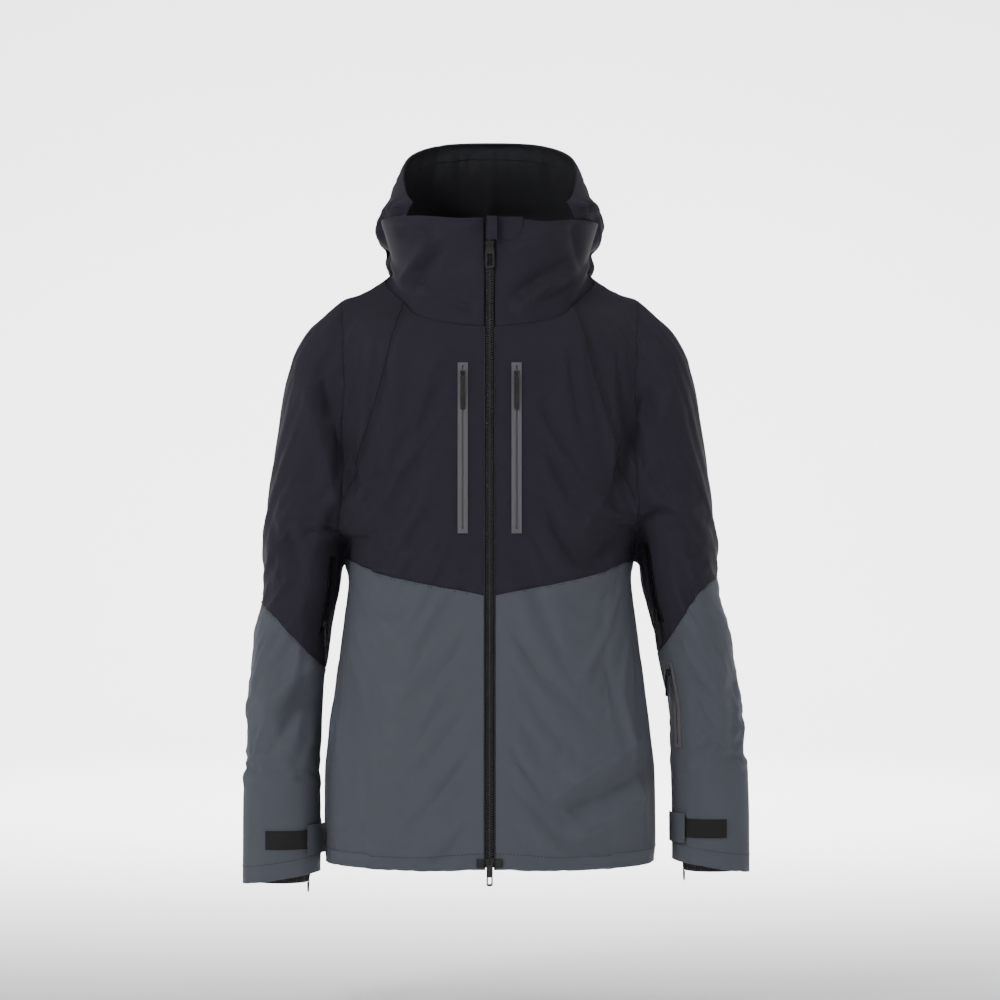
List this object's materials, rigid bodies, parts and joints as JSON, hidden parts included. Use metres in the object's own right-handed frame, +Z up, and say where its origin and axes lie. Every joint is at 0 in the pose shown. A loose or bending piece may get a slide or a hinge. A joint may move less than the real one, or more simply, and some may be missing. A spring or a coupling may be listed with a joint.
{
  "type": "ski jacket",
  "caption": "Hooded ski shell jacket with a two-way front zip, chest and vent zips, stand collar, adjustable cuffs and wrist gaiters.",
  "frame": {"origin": "on the jacket's centre line, level with the neck seam at the sides of the neck, where the shoulders carry it", "axes": "+Z up, the front faces -Y, +X towards the wearer's left"},
  "size_m": [0.6572, 0.3383, 0.9863],
  "materials": {
    "shell_black": "matt waterproof woven shell",
    "shell_grey": "matt waterproof woven shell",
    "lining": "soft brushed lining and tape",
    "film": "welded reinforcing film",
    "moulded": "satin moulded plastic",
    "hook_strip": "hook-and-loop fastener"
  },
  "bodies": {
    "jacket_body": {"zip_teeth_right": "moulded", "zip_tape_right": "lining", "zip_end_right": "moulded", "zip_teeth_left": "moulded", "zip_tape_left": "lining", "zip_end_left": "moulded", "storm_flap": "lining", "back_upper": "shell_black", "back_lower": "shell_grey", "front_upper_right": "shell_black", "front_lower_right": "shell_grey", "front_upper_left": "shell_black", "front_lower_left": "shell_grey", "collar_right": "shell_black", "collar_left": "shell_black", "chin_guard": "shell_black", "chest_welt_right": "film", "chest_pocket_right": "lining", "chest_welt_left": "film", "chest_pocket_left": "lining", "powder_skirt": "lining", "hanger_loop": "lining"},
    "hood": {"hood_shell": "shell_black", "hood_brim": "shell_black"},
    "sleeve_right": {"sleeve_upper_right": "shell_black", "sleeve_lower_right": "shell_grey", "vent_welt_right": "shell_black", "cuff_patch_right": "hook_strip", "wrist_gaiter_right": "lining", "thumb_loop_right": "lining"},
    "sleeve_left": {"sleeve_upper_left": "shell_black", "sleeve_lower_left": "shell_grey", "vent_welt_left": "shell_black", "cuff_patch_left": "hook_strip", "wrist_gaiter_left": "lining", "thumb_loop_left": "lining", "forearm_welt_left": "film"},
    "main_slider": {"main_slider": "moulded"},
    "main_pull": {"main_pull": "moulded"},
    "lower_slider": {"lower_slider": "moulded"},
    "lower_pull": {"lower_pull": "moulded"},
    "chest_slider_right": {"chest_slider_right": "moulded"},
    "chest_pull_right": {"chest_pull_right": "moulded"},
    "chest_slider_left": {"chest_slider_left": "moulded"},
    "chest_pull_left": {"chest_pull_left": "moulded"},
    "vent_slider_right": {"vent_slider_right": "moulded"},
    "vent_pull_right": {"vent_pull_right": "moulded"},
    "vent_slider_left": {"vent_slider_left": "moulded"},
    "vent_pull_left": {"vent_pull_left": "moulded"},
    "forearm_slider_left": {"forearm_slider_left": "moulded"},
    "forearm_pull_left": {"forearm_pull_left": "moulded"},
    "cuff_tab_right": {"cuff_tab_right": "shell_grey"},
    "cuff_tab_left": {"cuff_tab_left": "shell_grey"}
  },
  "joints": [
    {"name": "main_slider_travel", "type": "slide", "parent": "jacket_body", "child": "main_slider", "axis": [0, -0.0499, -0.9988], "range_m": [0, 0.45]},
    {"name": "main_pull_swing", "type": "hinge", "parent": "main_slider", "child": "main_pull", "pos_m": [0, -0.10524, 0.03023], "axis": [-1, 0, 0], "range_deg": [0, 110]},
    {"name": "lower_slider_travel", "type": "slide", "parent": "jacket_body", "child": "lower_slider", "axis": [0, 0.0499, 0.9988], "range_m": [0, 0.25]},
    {"name": "lower_pull_swing", "type": "hinge", "parent": "lower_slider", "child": "lower_pull", "pos_m": [0, -0.14409, -0.74677], "axis": [-1, 0, 0], "range_deg": [0, 110]},
    {"name": "chest_slider_right_travel", "type": "slide", "parent": "jacket_body", "child": "chest_slider_right", "axis": [0, -0.0499, -0.9988], "range_m": [0, 0.19]},
    {"name": "chest_pull_right_swing", "type": "hinge", "parent": "chest_slider_right", "child": "chest_pull_right", "pos_m": [-0.034, -0.11309, -0.13273], "axis": [-1, 0, 0], "range_deg": [0, 110]},
    {"name": "chest_slider_left_travel", "type": "slide", "parent": "jacket_body", "child": "chest_slider_left", "axis": [0, -0.0499, -0.9988], "range_m": [0, 0.19]},
    {"name": "chest_pull_left_swing", "type": "hinge", "parent": "chest_slider_left", "child": "chest_pull_left", "pos_m": [0.034, -0.11309, -0.13273], "axis": [-1, 0, 0], "range_deg": [0, 110]},
    {"name": "vent_slider_right_travel", "type": "slide", "parent": "sleeve_right", "child": "vent_slider_right", "axis": [0.1528, -0.0296, 0.9878], "range_m": [0, 0.075]},
    {"name": "vent_pull_right_swing", "type": "hinge", "parent": "vent_slider_right", "child": "vent_pull_right", "pos_m": [-0.21042, -0.04391, -0.45074], "axis": [-0.4576, -0.8892, 0], "range_deg": [0, 110]},
    {"name": "vent_slider_left_travel", "type": "slide", "parent": "sleeve_left", "child": "vent_slider_left", "axis": [-0.2155, -0.0257, 0.9762], "range_m": [0, 0.075]},
    {"name": "vent_pull_left_swing", "type": "hinge", "parent": "vent_slider_left", "child": "vent_pull_left", "pos_m": [0.21283, -0.04472, -0.43204], "axis": [-0.4638, 0.8859, 0], "range_deg": [0, 110]},
    {"name": "forearm_slider_left_travel", "type": "slide", "parent": "sleeve_left", "child": "forearm_slider_left", "axis": [0.1034, -0.036, -0.994], "range_m": [0, 0.085]},
    {"name": "forearm_pull_left_swing", "type": "hinge", "parent": "forearm_slider_left", "child": "forearm_pull_left", "pos_m": [0.22738, -0.04257, -0.51328], "axis": [-0.5317, 0.8469, 0], "range_deg": [0, 110]},
    {"name": "sleeve_right_swing", "type": "hinge", "parent": "jacket_body", "child": "sleeve_right", "pos_m": [-0.23, -0.0034, -0.262], "axis": [-1, 0, 0], "range_deg": [-15, 30]},
    {"name": "cuff_tab_right_peel", "type": "hinge", "parent": "sleeve_right", "child": "cuff_tab_right", "pos_m": [-0.2157, -0.026, -0.728], "axis": [0, 0, 1], "range_deg": [0, 30]},
    {"name": "sleeve_left_swing", "type": "hinge", "parent": "jacket_body", "child": "sleeve_left", "pos_m": [0.23, -0.0032, -0.262], "axis": [-1, 0, 0], "range_deg": [-15, 30]},
    {"name": "cuff_tab_left_peel", "type": "hinge", "parent": "sleeve_left", "child": "cuff_tab_left", "pos_m": [0.23161, -0.026, -0.713], "axis": [0, 0, -1], "range_deg": [0, 60]},
    {"name": "hood_tilt", "type": "hinge", "parent": "jacket_body", "child": "hood", "pos_m": [0, -0.06, 0.066], "axis": [1, 0, 0], "range_deg": [0, 30]}
  ]
}
